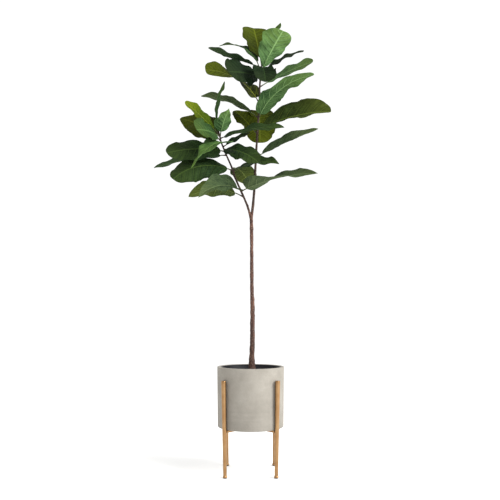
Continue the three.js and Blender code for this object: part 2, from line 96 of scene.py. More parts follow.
SIDE_LEAVES = [
    ("spike", 1580, 172, 74, -46, 0, 30, 0, 40, 206, 74, 0.8, 0.6, 12, 4, "mid"),
    ("yellow_up_left", 1562, 176, 50, 11, 0, 24, 0, 30, 195, 86, 0.5, 0.5, 8, 5, "lime"),
    ("olive_left", 1534, 143, 44, 26, 0, -60, 0, 30, 278, 138, 0.5, 0.85, 8, 7, "olive"),
    ("front_left", 1556, -120, 4, 22, 0, -58, 0, 25, 158, 128, 0.5, 0.4, 8, 6, "mid"),
    ("light_front", 1552, -74, 48, 6, 22, 6, 0, 16, 122, 84, 0.5, 0.95, 10, 5, "fresh"),
    ("crossing", 1546, -20, 16, 26, 0, 36, 0, 10, 302, 104, 0.5, 0.6, 6, 6, "deep"),
    ("thin_dark", 1506, 45, 34, 6, 0, 24, 0, 18, 186, 42, 0.5, 0.6, 8, 3, "shade"),
    ("rounded_centre", 1494, -50, -12, 26, 0, 42, 0, 5, 262, 98, 0.4, 0.4, 6, 7, "deep"),
    ("down_left", 1522, -88, -7, 54, -74, -10, 0, 10, 308, 130, 0.25, 1.1, 12, 7, "fresh"),
    ("rounded_left", 1484, -158, 4, 24, 0, -56, 0, 12, 264, 136, 0.5, 0.4, -6, 6, "deep"),
    ("pointed_left", 1466, 168, 3, 20, 0, 6, 0, 20, 340, 100, 0.5, 0.8, 8, 5, "deep"),
    ("pointed_centre", 1392, -32, 20, 42, 0, 36, 0, 30, 218, 100, 0.5, 0.8, 8, 7, "deep"),
    ("between", 1406, 66, 17, 58, 0, -10, 0, 30, 170, 120, 0.5, 0.4, 8, 5, "ripe"),
    ("low_left", 1394, -158, 17, 62, 0, -58, 0, 18, 286, 142, 0.5, 0.4, -12, 7, "deep"),
    ("front_low", 1306, -129, 8, 50, 0, -42, 0, 10, 288, 136, 0.3, 1.0, 22, 7, "grey"),
    ("under_left", 1270, 162, 32, 58, 0, 26, 0, 40, 250, 134, 0.5, 0.85, 8, 6, "ripe"),
    ("low_right", 1298, -36, 16, 22, 10, -28, 96, 22, 372, 138, 0.3, 0.85, 17, 4, "grey"),
]

STEMS = (  # centre line, radii, sides of the skin and seed of its knobs
    (TRUNK, TRUNK_RADIUS, 48, 1), (LEADER, LEADER_RADIUS, 40, 3), (SIDE, SIDE_RADIUS, 40, 5),
)
BARK_STEP = 3.0  # height between two rings of a stem's skin
BARK_RING = {"spacing": 56, "swell": 0.06, "power": 5}  # old leaf scars, the swell as a share
BARK_KNOBS = ((16, 0.1), (5, 0.06))  # cell of each noise and its share of the radius
BARK_VOXEL = 1.3 * MM  # the tubes and bosses are fused on a lattice this fine
BARK_SOFTENING = 2  # passes over the steps that the lattice leaves
BOSS_LENGTH = 5
BOSS_CLEARANCE = 4  # least room between the bark and a stalk that rises beside it
BOSS_RADII = (4.1, 3.6, 3.2)  # from the bark out to the stalk
BOSS_PLACES = (0, 0.6, 1)  # of those three rings, as shares of the way
BOSS_SIDES = 16
NOISE_VALUES = 4096
NOISE_PRIMES = (73856093, 19349663, 83492791)  # they scatter a lattice's corners over the values
MAP_RANGE = ("From Min", "From Max", "To Min", "To Max")  # the Map Range node's sockets, in order


def leaf_values(row, place, line, radii):
    """One leaf's own values by name, with its angles in radians, its place in its stem's list and
    that stem's centre line and radii."""
    names = ("name", "height", "heading", "rise", "arch", "sway", "roll", "twist", "stalk",
             "blade", "width", "base", "tip", "fold", "wave", "tone")
    leaf = dict(zip(names, row), place=place, line=line, radii=radii)
    for angle in ("heading", "rise", "arch", "sway", "roll", "twist", "fold"):
        leaf[angle] = np.radians(leaf[angle])
    return leaf


def leaf_frame(leaf, share):
    """Directions at shares of the leaf's length. The midrib's climb falls evenly by the arch and
    its heading turns evenly by the sway. Left is level and across it, turned by the roll and the
    twist, and upper is ahead x left."""
    share = np.asarray(share, float)
    climb = leaf["rise"] - leaf["arch"] * share
    turn = leaf["heading"] + leaf["sway"] * share
    roll = (leaf["roll"] + leaf["twist"] * share)[..., None]
    ahead = np.stack([np.cos(climb) * np.cos(turn), np.cos(climb) * np.sin(turn),
                      np.sin(climb)], -1)
    level = np.stack([-np.sin(turn), np.cos(turn), np.zeros_like(turn)], -1)
    left = level * np.cos(roll) + np.cross(ahead, level) * np.sin(roll)
    return ahead, left, np.cross(ahead, left)


def stem_point(line, z):
    """Points of a centre line at heights z, straight between its rows."""
    return np.stack([np.interp(z, line[:, 2], line[:, 0]), np.interp(z, line[:, 2], line[:, 1]),
                     np.asarray(z, float)], -1)


def boss_end(leaf):
    """Where a leaf's stalk starts: the bark's radius and the boss's length out from the stem's
    centre line, along the stalk. Beside its stem a steep stalk starts further out: the radius
    and the clearance, divided by the cosine of its rise."""
    bark = np.interp(leaf["height"], leaf["radii"][:, 0], leaf["radii"][:, 1])
    reach = bark + BOSS_LENGTH
    if leaf["height"] < leaf["line"][-1, 2] - BOSS_LENGTH:
        reach = max(reach, (bark + BOSS_CLEARANCE) / np.cos(leaf["rise"]))
    return stem_point(leaf["line"], leaf["height"]) + leaf_frame(leaf, 0)[0] * reach


def lattice_noise(points, cell, seed):
    """Smooth noise from -1 to 1: a seeded random value at each corner of a cubic lattice with
    that cell size, blended between the corners by 3t^2 - 2t^3 along each axis."""
    values = np.random.default_rng(seed).uniform(-1, 1, NOISE_VALUES)
    scaled = np.asarray(points, float) / cell
    base = np.floor(scaled).astype(np.int64)
    blend = scaled - base
    blend = blend * blend * (3 - 2 * blend)
    total = np.zeros(scaled.shape[:-1])
    for corner in itertools.product((0, 1), repeat=3):
        key = np.bitwise_xor.reduce((base + corner) * NOISE_PRIMES, -1) % NOISE_VALUES
        total += values[key] * np.prod(np.where(corner, blend, 1 - blend), -1)
    return total


def ring_points(centre, right, up, radius, sides):
    """Circles: centre + radius (right cos t + up sin t), for as many centres as are given."""
    turn = np.linspace(0, 2 * np.pi, sides, endpoint=False)[:, None]
    radius = np.asarray(radius, float)
    radius = radius[..., None] if radius.ndim == 2 else radius[:, None, None]
    return centre[:, None] + radius * (right[:, None] * np.cos(turn) + up[:, None] * np.sin(turn))


def loft_mesh(name, skins):
    """Closed skins over rings of points. A skin is an array of rings x points x 3, and quads join
    each ring to the next. Both ends close in a fan of triangles on the ring's mean point."""
    points, quads, fans, start = [], [], [], 0
    for rings in skins:
        rings = rings * MM + AXIS
        count, around = rings.shape[:2]
        i = np.arange(count - 1)[:, None] * around
        j = np.arange(around)
        k = (j + 1) % around
        quads.append(start + np.stack([i + j, i + k, i + around + k, i + around + j], -1)
                     .reshape(-1, 4))
        last = (count - 1) * around
        low, high = np.full(around, count * around), np.full(around, count * around + 1)
        fans.append(start + np.concatenate([np.stack([low, k, j], -1),
                                            np.stack([high, last + j, last + k], -1)]))
        points.append(np.concatenate([rings.reshape(-1, 3), rings[[0, -1]].mean(1)]))
        start += count * around + 2
    mesh = bpy.data.meshes.new(name)
    mesh.from_pydata(np.concatenate(points), [],
                     [*np.concatenate(quads).tolist(), *np.concatenate(fans).tolist()])
    mesh.shade_smooth()
    return mesh


def add_piece(name, mesh, nodes, materials):
    """Links the mesh as a piece of the plant's one body that stands for those nodes."""
    piece = bpy.data.objects.new(name, mesh)
    scene.collection.objects.link(piece)
    for material in materials:
        mesh.materials.append(material)
    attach(piece, "root")
    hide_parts(*nodes)
    return piece


def linear(text):
    """An sRGB hex colour as linear red, green, blue and alpha, by that standard's curve."""
    c = np.array([int(text[i:i + 2], 16) for i in (1, 3, 5)]) / 255
    c = np.where(c <= 0.04045, c / 12.92, ((c + 0.055) / 1.055) ** 2.4)
    return (*c.tolist(), 1.0)


def new_material(name):
    """A material whose node tree is empty."""
    material = bpy.data.materials.new(name)
    material.use_nodes = True
    material.node_tree.nodes.clear()
    return material


def add_node(material, kind, links=(), values=(), stops=(), **settings):
    """Adds one node. Its kind is its type without ShaderNode, settings are its properties, values
    are (socket, number or colour), links are (socket, the output that feeds it, or a node whose
    first output does) and stops are a colour ramp's (place, hex colour)."""
    made = material.node_tree.nodes.new("ShaderNode" + kind)
    for name, value in settings.items():
        setattr(made, name, value)
    for socket, value in values:
        made.inputs[socket].default_value = value
    for socket, source in links:
        source = getattr(source, "outputs", [source])[0]
        material.node_tree.links.new(source, made.inputs[socket])
    if stops:
        elements = made.color_ramp.elements
        while len(elements) < len(stops):
            elements.new(1)
        for element, (place, colour) in zip(elements, stops):
            element.position, element.color = place, linear(colour)
    return made


def stem_rings(line, radii, sides, seed):
    """Horizontal rings up a stem. Their radius is the stem's own, swelled by a power of a cosine at
    each old leaf scar and made knobbly by two sizes of noise."""
    z = np.arange(line[0, 2], line[-1, 2], BARK_STEP)
    centre = stem_point(line, z)
    wave = np.cos(2 * np.pi * z / BARK_RING["spacing"])
    swell = 1 + BARK_RING["swell"] * wave ** BARK_RING["power"]
    plain = np.interp(z, radii[:, 0], radii[:, 1]) * swell
    right, up = (np.broadcast_to(v, centre.shape) for v in ([1.0, 0, 0], [0, 1.0, 0]))
    smooth = ring_points(centre, right, up, plain, sides)
    knobs = sum(lattice_noise(smooth, cell, seed + i) * share
                for i, (cell, share) in enumerate(BARK_KNOBS))
    return ring_points(centre, right, up, plain[:, None] * (1 + knobs), sides)


def boss_rings(leaf):
    """A short boss: circles across the stalk, from the stem's centre line to the stalk's root."""
    _, left, upper = leaf_frame(leaf, 0)
    root = stem_point(leaf["line"], leaf["height"])
    centre = root + (boss_end(leaf) - root) * np.array(BOSS_PLACES)[:, None]
    return ring_points(centre, *(np.broadcast_to(v, centre.shape) for v in (left, upper)),
                       BOSS_RADII, BOSS_SIDES)


leaves = [leaf_values(row, place, line, radii)
          for rows, line, radii in ((LEADER_LEAVES, LEADER, LEADER_RADIUS),
                                    (SIDE_LEAVES, SIDE, SIDE_RADIUS))
          for place, row in enumerate(rows)]
skins = [stem_rings(*stem) for stem in STEMS] + [boss_rings(leaf) for leaf in leaves]
rough = bpy.data.objects.new("rough_stem", loft_mesh("rough_stem", skins))
scene.collection.objects.link(rough)
fuse = rough.modifiers.new("fuse", "REMESH")
fuse.mode = "VOXEL"
fuse.voxel_size = BARK_VOXEL
soften = rough.modifiers.new("soften", "SMOOTH")
soften.iterations = BARK_SOFTENING
stem_mesh = bpy.data.meshes.new_from_object(
    rough.evaluated_get(bpy.context.evaluated_depsgraph_get()))
stem_mesh.name = "fig_stem"
stem_mesh.shade_smooth()
bpy.data.objects.remove(rough)

# Living bark: grown cork, dry and matt. The eye gets a reddish brown that breaks into darker cracks
# along the stem, with pale raised pores of 3 to 4 mm. It fades up the trunk, and above the fork it
# is darkened towards near black by painted shade from the leaves over it.
SOIL_HEIGHT = 450 * MM
FORK_HEIGHT = 1190 * MM
bark = new_material("grown_bark")
place = add_node(bark, "TexCoord").outputs["Object"]
stretched = add_node(bark, "Mapping", [("Vector", place)], [("Scale", (1, 1, 0.3))])
cracks = add_node(bark, "TexNoise", [("Vector", stretched)],
                  [("Scale", 1 / (9 * MM)), ("Detail", 6), ("Roughness", 0.65)])
blotch = add_node(bark, "TexNoise", [("Vector", place)], [("Scale", 1 / (45 * MM)), ("Detail", 3)])
pores = add_node(bark, "TexVoronoi", [("Vector", place)], [("Scale", 1 / (7 * MM))])
pore_light = add_node(bark, "MapRange", [("Value", pores)], zip(MAP_RANGE, (0.12, 0.3, 1, 0)))
brown = add_node(bark, "ValToRGB", [("Fac", cracks)],
                 stops=[(0.3, "#2b1913"), (0.5, "#53382e"), (0.72, "#7e5a48")])
patched = add_node(bark, "Mix", [(0, blotch), (6, brown)], [(7, linear("#5f5248"))],
                   data_type="RGBA", blend_type="SOFT_LIGHT").outputs[2]
dotted = add_node(bark, "Mix", [(0, pore_light), (6, patched)], [(7, linear("#87705f"))],
                  data_type="RGBA").outputs[2]
height = add_node(bark, "SeparateXYZ", [(0, place)]).outputs[2]
fading = add_node(bark, "MapRange", [("Value", height)],
                  zip(MAP_RANGE, (SOIL_HEIGHT, FORK_HEIGHT, 0.85, 1.25)))
faded = add_node(bark, "HueSaturation", [("Value", fading), ("Color", dotted)])
# Painted shade: above the fork the bark is mixed towards near black for the shadow the crown casts
# on it.
canopy_shade = add_node(bark, "MapRange", [("Value", height)],
                 zip(MAP_RANGE, (FORK_HEIGHT - 20 * MM, FORK_HEIGHT + 60 * MM, 0, 0.7)))
shaded_bark = add_node(bark, "Mix", [(0, canopy_shade), (6, faded)], [(7, linear("#221c16"))],
                data_type="RGBA").outputs[2]
relief = add_node(bark, "Math", [(0, cracks), (1, pore_light)], operation="ADD")
bump = add_node(bark, "Bump", [("Height", relief)], [("Strength", 0.7), ("Distance", 0.8 * MM)])
shader = add_node(bark, "BsdfPrincipled", [("Base Color", shaded_bark), ("Normal", bump)],
                  [("Roughness", 0.82), ("IOR", 1.45)])
add_node(bark, "OutputMaterial", [("Surface", shader)])
add_piece("fig_stem", stem_mesh, ["woody_stem"], [bark])

# ------------------------------------------------------------
# Bud sheath. Two pale green stipules wrapped round the growing tip of the leader, smooth and
# tapering to a soft point.

SHEATH_PROFILE = np.array([  # radius and height in millimetres
    [2.2, 0], [3.6, 0.6], [4.5, 4], [5.0, 9], [4.8, 15], [4.1, 22], [3.0, 29], [1.9, 35],
    [0.9, 40], [0.3, 41.7],
])
SHEATH_GAP = 0.9  # above the end of the leader
SHEATH_RINGS, SHEATH_SIDES = 60, 36
SHEATH_LAP = {"step": 0.09, "width": 0.35, "pitch": 14}  # the outer stipule's edge: its share of
# the radius, its width in radians, and the height in which it winds through one radian

tip = LEADER[-1].astype(float)
sheath_ahead = (tip - LEADER[-2]) / np.linalg.norm(tip - LEADER[-2])
sheath_right = np.cross([0.0, 1.0, 0.0], sheath_ahead)
sheath_right /= np.linalg.norm(sheath_right)
sheath_up = np.cross(sheath_ahead, sheath_right)
height = np.linspace(0, SHEATH_PROFILE[-1, 1], SHEATH_RINGS)
seam = (np.linspace(0, 2 * np.pi, SHEATH_SIDES, endpoint=False)
        - height[:, None] / SHEATH_LAP["pitch"])
beside = (np.mod(seam, 2 * np.pi) - np.pi) / SHEATH_LAP["width"]
lap = 1 + SHEATH_LAP["step"] * np.exp(-beside ** 2)
sheath_radius = np.interp(height, SHEATH_PROFILE[:, 1], SHEATH_PROFILE[:, 0])[:, None] * lap
sheath_centre = tip + sheath_ahead * (height[:, None] + SHEATH_GAP)
sheath_rings = ring_points(
    sheath_centre, *(np.broadcast_to(v, sheath_centre.shape) for v in (sheath_right, sheath_up)),
    sheath_radius, SHEATH_SIDES)

# Young stipule: a soft thin skin. The eye gets a pale green with faint lengthwise ribs.
stipule = new_material("young_stipule")
place = add_node(stipule, "TexCoord").outputs["Object"]
along = add_node(stipule, "Mapping", [("Vector", place)], [("Scale", (1, 1, 0.12))])
ribs = add_node(stipule, "TexNoise", [("Vector", along)],
                [("Scale", 1 / (1.6 * MM)), ("Detail", 3)])
green = add_node(stipule, "ValToRGB", [("Fac", ribs)], stops=[(0.3, "#678f4c"), (0.7, "#93b873")])
bump = add_node(stipule, "Bump", [("Height", ribs)], [("Strength", 0.4), ("Distance", 0.3 * MM)])
shader = add_node(stipule, "BsdfPrincipled", [("Base Color", green), ("Normal", bump)],
                  [("Roughness", 0.45), ("IOR", 1.42)])
add_node(stipule, "OutputMaterial", [("Surface", shader)])
add_piece("bud_skin", loft_mesh("bud_skin", [sheath_rings]), ["bud_sheath"], [stipule])

# ------------------------------------------------------------
# Leaves. Thirty-three leathery blades on short round stalks, each grown from its boss. The edges
# wave, a strong midrib stands out below, and the blade is puckered between the side veins. The
# upper face is waxy and the lower one paler and matt.

STALK = {"gap": 0.3, "radius": 2.6, "flare": 0.3, "uv": -0.12}  # clearance to its boss, radius,
# how much wider its root is, as a share, and where its root lies on the blade's UV map
BLADE = {"thickness": 1.4, "edge_thinning": 0.35, "tip_half_width": 2.2}
FOLD_ROUNDING = (0.002, 0.0447)  # the fold is sqrt(v^2 + the first) - the second, 0 at the midrib
WAVES, WAVE_SHIFT, WAVE_PHASE_STEP = 2.6, 0.17, 0.37
RIB = {"width": 2.2, "above": 0.5, "below": 2.0}
VEIN_PAIRS = 8
VEIN_LEAN = 0.17  # how far forward a side vein has run at the edge, as a share of the blade
VEIN_CURVE = 1.25
VEIN_SHIFT = 0.25  # each half's veins are moved this share of a spacing, one half back
PUCKER = {"height": 3.0, "power": 0.6, "level": 0.6, "rib_room": 5}  # between two side veins
BULGES = ((48, 5.5, 1), (20, 2.4, 0.5))  # cell and height of each noise, and the power of |v| in it
RAGGED = {"cell": 15, "halves_apart": 40, "depth": 0.07, "notch": 0.03}  # depths as shares
STATIONS, ACROSS, STALK_STATIONS = 84, 37, 9
ACROSS_CURVE = 1.25  # it crowds the points across the blade towards the midrib
MIDRIB_STEPS = 800
LEAF_SHARP = np.radians(48)  # creases steeper than this are left unsmoothed
LEAF_SEED = 7  # each letter of a leaf's name moves its noise on by this many seeds


def vein_phase(u, v):
    """Whole numbers on the side veins: pairs (u - lean |v|^curve), shifted on each half, because
    the veins alternate."""
    return VEIN_PAIRS * (u - VEIN_LEAN * np.abs(v) ** VEIN_CURVE) + VEIN_SHIFT * np.sign(v)


def leaf_skin(leaf):
    """Rings of one leaf and its surface coordinates. A stalk ring is a circle. A blade ring runs
    left to right over the upper face and back under the lower one. Its half width is u^base
    (1 - u)^tip scaled to the leaf, its halves fold alike, its edge waves as v^2 sin, it is
    puckered as |sin| of the vein phase, and two sizes of noise make it uneven."""
    phase = WAVE_PHASE_STEP * leaf["place"]
    seed = LEAF_SEED * len(leaf["name"]) + leaf["place"]
    total = leaf["stalk"] + leaf["blade"]
    turn = np.linspace(0, np.pi, STATIONS + 1)
    u = 0.5 - 0.5 * np.cos(turn)
    t = np.linspace(1, -1, ACROSS)
    v = np.sign(t) * np.abs(t) ** ACROSS_CURVE
    distance = np.concatenate([np.linspace(0, leaf["stalk"], STALK_STATIONS, endpoint=False),
                               leaf["stalk"] + leaf["blade"] * u])
    fine = (np.arange(MIDRIB_STEPS) + 0.5) / MIDRIB_STEPS
    steps = leaf_frame(leaf, fine)[0] * total / MIDRIB_STEPS
    run = np.concatenate([np.zeros((1, 3)), np.cumsum(steps, 0)])
    edges = np.linspace(0, total, MIDRIB_STEPS + 1)
    root = boss_end(leaf) + leaf_frame(leaf, 0)[0] * STALK["gap"]
    centre = root + np.stack([np.interp(distance, edges, run[:, i]) for i in range(3)], -1)
    _, left, upper = leaf_frame(leaf, distance / total)

    stalk = slice(0, STALK_STATIONS)
    flare = 1 + STALK["flare"] * np.linspace(1, 0, STALK_STATIONS) ** 3
    start = np.pi / (2 * ACROSS)
    angle = start + np.linspace(0, 2 * np.pi, 2 * ACROSS, endpoint=False)[:, None]
    stalk_rings = centre[stalk, None] + STALK["radius"] * flare[:, None, None] * (
        left[stalk, None] * np.cos(angle) + upper[stalk, None] * np.sin(angle))

    base, tip = leaf["base"], leaf["tip"]
    widest = base / (base + tip)
    outline = u ** base * (1 - u) ** tip / (widest ** base * (1 - widest) ** tip)
    half = np.maximum(leaf["width"] / 2 * outline, BLADE["tip_half_width"])[:, None]
    U, V = np.meshgrid(u, v, indexing="ij")
    size = np.abs(V)
    vein = vein_phase(U, V)
    span = np.sqrt(np.sin(np.pi * U).clip(0))
    margin = np.stack([U * leaf["blade"], np.sign(V) * RAGGED["halves_apart"], 0 * U], -1)
    ragged = RAGGED["depth"] * lattice_noise(margin, RAGGED["cell"], seed + len(BULGES))
    scallop = 1 + span * size ** 2 * (ragged - RAGGED["notch"] * np.abs(np.cos(np.pi * vein)))
    waved = leaf["wave"] * V ** 2 * span * np.sin(
        2 * np.pi * (WAVES * U + WAVE_SHIFT * np.sign(V) + phase))
    soft_fold = np.sqrt(size ** 2 + FOLD_ROUNDING[0]) - FOLD_ROUNDING[1]
    swollen = np.abs(np.sin(np.pi * vein)) ** PUCKER["power"] - PUCKER["level"]
    pucker = PUCKER["height"] * span * swollen * (1 - size ** 3) * (
        1 - np.exp(-(size * half / PUCKER["rib_room"]) ** 2))
    plane = np.stack([U * leaf["blade"], V * half, 0 * U], -1)
    uneven = span * sum(lattice_noise(plane, cell, seed + i) * height * size ** power
                        for i, (cell, height, power) in enumerate(BULGES))
    lift = half * soft_fold * np.sin(leaf["fold"]) + waved + pucker + uneven
    rib = np.exp(-(V * half / RIB["width"]) ** 2)
    thick = BLADE["thickness"] * (1 - BLADE["edge_thinning"] * size ** 6) / 2
    flat = centre[STALK_STATIONS:, None] + left[STALK_STATIONS:, None] * (
        half * V * scallop * np.cos(leaf["fold"]))[..., None]
    up = upper[STALK_STATIONS:, None]
    above = flat + up * (lift + thick + RIB["above"] * rib * span)[..., None]
    below = flat + up * (lift - thick - rib * RIB["below"] * (1 - U))[..., None]
    blade_rings = np.concatenate([above, below[:, ::-1]], 1)

    rings = np.concatenate([stalk_rings, blade_rings])
    along = np.concatenate([np.linspace(STALK["uv"], 0, STALK_STATIONS, endpoint=False), u])
    around = np.concatenate([v, v[::-1]]) * 0.5 + 0.5
    return rings, np.stack(np.broadcast_arrays(along[:, None], around), -1)


def leaf_mesh(leaf):
    """The leaf's skin as a mesh, with the blade's place and width as its UV map, and finishes 0 on
    the upper face, 1 on the lower face and 2 on the stalk."""
    rings, place = leaf_skin(leaf)
    count, around = rings.shape[:2]
    mesh = loft_mesh(leaf["name"], [rings])
    ends = np.array([[STALK["uv"], 0.5], [1, 0.5]])
    corner = np.zeros(len(mesh.loops), np.int64)
    mesh.loops.foreach_get("vertex_index", corner)
    uv = np.concatenate([place.reshape(-1, 2), ends])[corner]
    mesh.uv_layers.new(name="blade").data.foreach_set("uv", uv.ravel())
    finish = np.ones((count - 1, around), np.int64)
    finish[:, :ACROSS - 1] = 0
    finish[:STALK_STATIONS] = 2
    fans = np.repeat([2, 1], around)
    mesh.polygons.foreach_set("material_index", np.concatenate([finish.ravel(), fans]))
    mesh.set_sharp_from_angle(angle=LEAF_SHARP)
    return mesh


def vein_mask(material, u, v, width):
    """How strongly the midrib and the side veins show, 0 between them, and how strong the painted
    shade is in the creases beside the veins and along the margin. The side veins follow the same
    phase as the puckers, and fade towards the edge."""
    size = add_node(material, "Math", [(0, v)], operation="ABSOLUTE")
    bent = add_node(material, "Math", [(0, size)], [(1, VEIN_CURVE)], operation="POWER")
    lean = add_node(material, "Math", [(0, bent), (2, u)], [(1, -VEIN_LEAN)],
                    operation="MULTIPLY_ADD")
    sign = add_node(material, "Math", [(0, v)], operation="SIGN")
    shift = add_node(material, "Math", [(0, sign)], [(1, VEIN_SHIFT)], operation="MULTIPLY")
    phase = add_node(material, "Math", [(0, lean), (2, shift)], [(1, VEIN_PAIRS)],
                     operation="MULTIPLY_ADD")
    off = add_node(material, "Math", [(0, phase)], [(1, 0.5)], operation="PINGPONG")
    side = add_node(material, "MapRange", [("Value", off)],
                    zip(MAP_RANGE, (width * 0.4, width, 0.65, 0)))
    fade = add_node(material, "MapRange", [("Value", size)], zip(MAP_RANGE, (0.5, 1, 1, 0.15)))
    faded = add_node(material, "Math", [(0, side), (1, fade)], operation="MULTIPLY")
    rib = add_node(material, "MapRange", [("Value", size)], zip(MAP_RANGE, (0.025, 0.06, 0.75, 0)))
    lines = add_node(material, "Math", [(0, rib), (1, faded)], operation="MAXIMUM")
    # Painted shade in the creases beside the side veins, strongest right beside each vein.
    crease_shade = add_node(material, "MapRange", [("Value", off)],
                      zip(MAP_RANGE, (width, 0.36, 0.85, 0)))
    # Painted shade along the margin, deepening towards the edge.
    margin = add_node(material, "MapRange", [("Value", size)], zip(MAP_RANGE, (0.9, 1, 0, 0.55)))
    shade = add_node(material, "Math", [(0, crease_shade), (1, margin)], operation="MAXIMUM")
    return lines, shade


def leaf_finish(name, dark, light, tip, vein, roughness, vein_width):
    """Leaf tissue. Two greens mix in 70 mm clouds and in lengthwise bands of painted shade from the
    blade's folds, and turn to the tip's colour outwards. Painted shade darkens the creases and the
    margin in patches, and the veins are drawn over them, with a network of 6 mm cells between."""
    skin = new_material(name)
    place = add_node(skin, "TexCoord").outputs["Object"]
    uv = add_node(skin, "UVMap", uv_map="blade")
    u, across = add_node(skin, "SeparateXYZ", [(0, uv)]).outputs[:2]
    v = add_node(skin, "Math", [(0, across)], [(1, 2), (2, -1)], operation="MULTIPLY_ADD")
    clouds = add_node(skin, "TexNoise", [("Vector", place)],
                      [("Scale", 1 / (70 * MM)), ("Detail", 4), ("Roughness", 0.6)])
    # Painted shade: lengthwise bands along the blade stand in for the shade of its folds and curl,
    # and are mixed into the leaf's own mottled clouds.
    long = add_node(skin, "Mapping", [("Vector", uv)], [("Scale", (3, 26, 1))])
    fold_shade_bands = add_node(skin, "TexNoise", [("Vector", long)], [("Scale", 1), ("Detail", 3)])
    mottle_and_fold_shade = add_node(skin, "Mix", [(2, clouds), (3, fold_shade_bands)], [(0, 0.45)])
    body = add_node(skin, "ValToRGB", [("Fac", mottle_and_fold_shade)], stops=[(0.4, dark), (0.6, light)])
    outer = add_node(skin, "MapRange", [("Value", u)], zip(MAP_RANGE, (0.4, 0.85, 0, 0.85)))
    turned = add_node(skin, "Mix", [(0, outer), (6, body)], [(7, linear(tip))],
                      data_type="RGBA").outputs[2]
    cells = add_node(skin, "TexVoronoi", [("Vector", place)], [("Scale", 1 / (6 * MM))],
                     feature="DISTANCE_TO_EDGE")
    net = add_node(skin, "MapRange", [("Value", cells)], zip(MAP_RANGE, (0.02, 0.1, 0.22, 0)))
    lines, shade = vein_mask(skin, u, v, vein_width)
    patchy = add_node(skin, "MapRange", [("Value", clouds)], zip(MAP_RANGE, (0.38, 0.62, 0.2, 0.9)))
    # Painted shade: the crease and margin shade, broken into patches by the clouds, darkens the
    # greens towards the dark green.
    worn = add_node(skin, "Math", [(0, shade), (1, patchy)], operation="MULTIPLY")
    with_painted_shade = add_node(skin, "Mix", [(0, worn), (6, turned)], [(7, linear(dark))],
                       data_type="RGBA").outputs[2]
    drawn = add_node(skin, "Math", [(0, lines), (1, net)], operation="MAXIMUM")
    veined = add_node(skin, "Mix", [(0, drawn), (6, with_painted_shade)], [(7, linear(vein))],
                      data_type="RGBA").outputs[2]
    grain = add_node(skin, "TexNoise", [("Vector", place)],
                     [("Scale", 1 / (2.5 * MM)), ("Detail", 2)])
    height = add_node(skin, "Math", [(0, grain), (1, drawn)], operation="SUBTRACT")
    bump = add_node(skin, "Bump", [("Height", height)],
                    [("Strength", 0.35), ("Distance", 0.4 * MM)])
    rough = add_node(skin, "MapRange", [("Value", clouds)],
                     zip(MAP_RANGE, (0.3, 0.7, roughness - 0.06, roughness + 0.08)))
    shader = add_node(skin, "BsdfPrincipled",
                      [("Base Color", veined), ("Roughness", rough), ("Normal", bump)],
                      [("IOR", 1.42), ("Specular IOR Level", 0.05)])
    add_node(skin, "OutputMaterial", [("Surface", shader)])
    return skin


# Leaf tones, each with its dark and light green, tip and vein above, and the same below. They are
# partly painted light and shade: the tone named shade is a copy of the greens darkened for leaves
# that stand in the crown's shadow, olive is brightened for leaves lit through from behind, and the
# other tones step from dark to light partly with each leaf's own colour and partly with its light.
TONES = {
    "shade": (("#0a120b", "#182817", "#1c2713", "#28381c"),
              ("#0e190d", "#1c2e18", "#232f16", "#344628")),
    "deep": (("#101e11", "#2b4022", "#2c3b19", "#445828"),
             ("#16261a", "#2b4026", "#314126", "#485c36")),
    "ripe": (("#141d0d", "#31411b", "#40491a", "#5c6a2c"),
             ("#222e12", "#3d4c22", "#4b5522", "#68753a")),
    "mid": (("#172a12", "#34502a", "#3a4c20", "#587240"),
            ("#23381e", "#3d5931", "#405121", "#60784a")),
    "fresh": (("#1d3618", "#466536", "#4b6226", "#6c8a48"),
              ("#264224", "#537242", "#577136", "#82a268")),
    "grey": (("#223220", "#455638", "#444f2d", "#60704a"),
             ("#2a3824", "#4c5a3a", "#485530", "#667450")),
    "olive": (("#171d02", "#343f07", "#3a4306", "#586118"),
              ("#1c2204", "#3c460a", "#41490c", "#5e6820")),
    "yellow": (("#0a1006", "#19230a", "#5e6a12", "#7a8228"),
               ("#0d1407", "#1c270b", "#5c6818", "#828c38")),
    "lime": (("#26400f", "#526c14", "#7c8c18", "#96a43a"),
             ("#2c4610", "#5a7416", "#82921a", "#9aa840")),
}

# Living leaf. The waxed upper face gives a broad soft shine over deep green, and the lower face is
# matt, because its skin is rough with pores.
finishes = {
    tone: (leaf_finish(f"waxy_leaf_{tone}", *above, roughness=0.62, vein_width=0.045),
           leaf_finish(f"matt_underleaf_{tone}", *below, roughness=0.78, vein_width=0.06))
    for tone, (above, below) in TONES.items()
}

# Green stalk: firm smooth tissue. The eye gets a pale yellow green, brown where it joins the boss.
stalk_skin = new_material("green_stalk")
uv = add_node(stalk_skin, "UVMap", uv_map="blade")
u = add_node(stalk_skin, "SeparateXYZ", [(0, uv)])
far = add_node(stalk_skin, "MapRange", [("Value", u)], [("From Min", STALK["uv"]), ("From Max", 0)])
green = add_node(stalk_skin, "ValToRGB", [("Fac", far)],
                 stops=[(0, "#33291a"), (0.25, "#3a401c"), (1, "#4a5a2a")])
shader = add_node(stalk_skin, "BsdfPrincipled", [("Base Color", green)],
                  [("Roughness", 0.5), ("IOR", 1.42)])
add_node(stalk_skin, "OutputMaterial", [("Surface", shader)])

for leaf in leaves:
    node = "leaf_" + leaf["name"]
    add_piece("blade_" + leaf["name"], leaf_mesh(leaf), [node],
              [*finishes[leaf["tone"]], stalk_skin])

# ------------------------------------------------------------
# Pot. A round planter with a straight wall that widens a little upwards, cast in fine concrete
# and sanded, with a small rounding at rim and base.

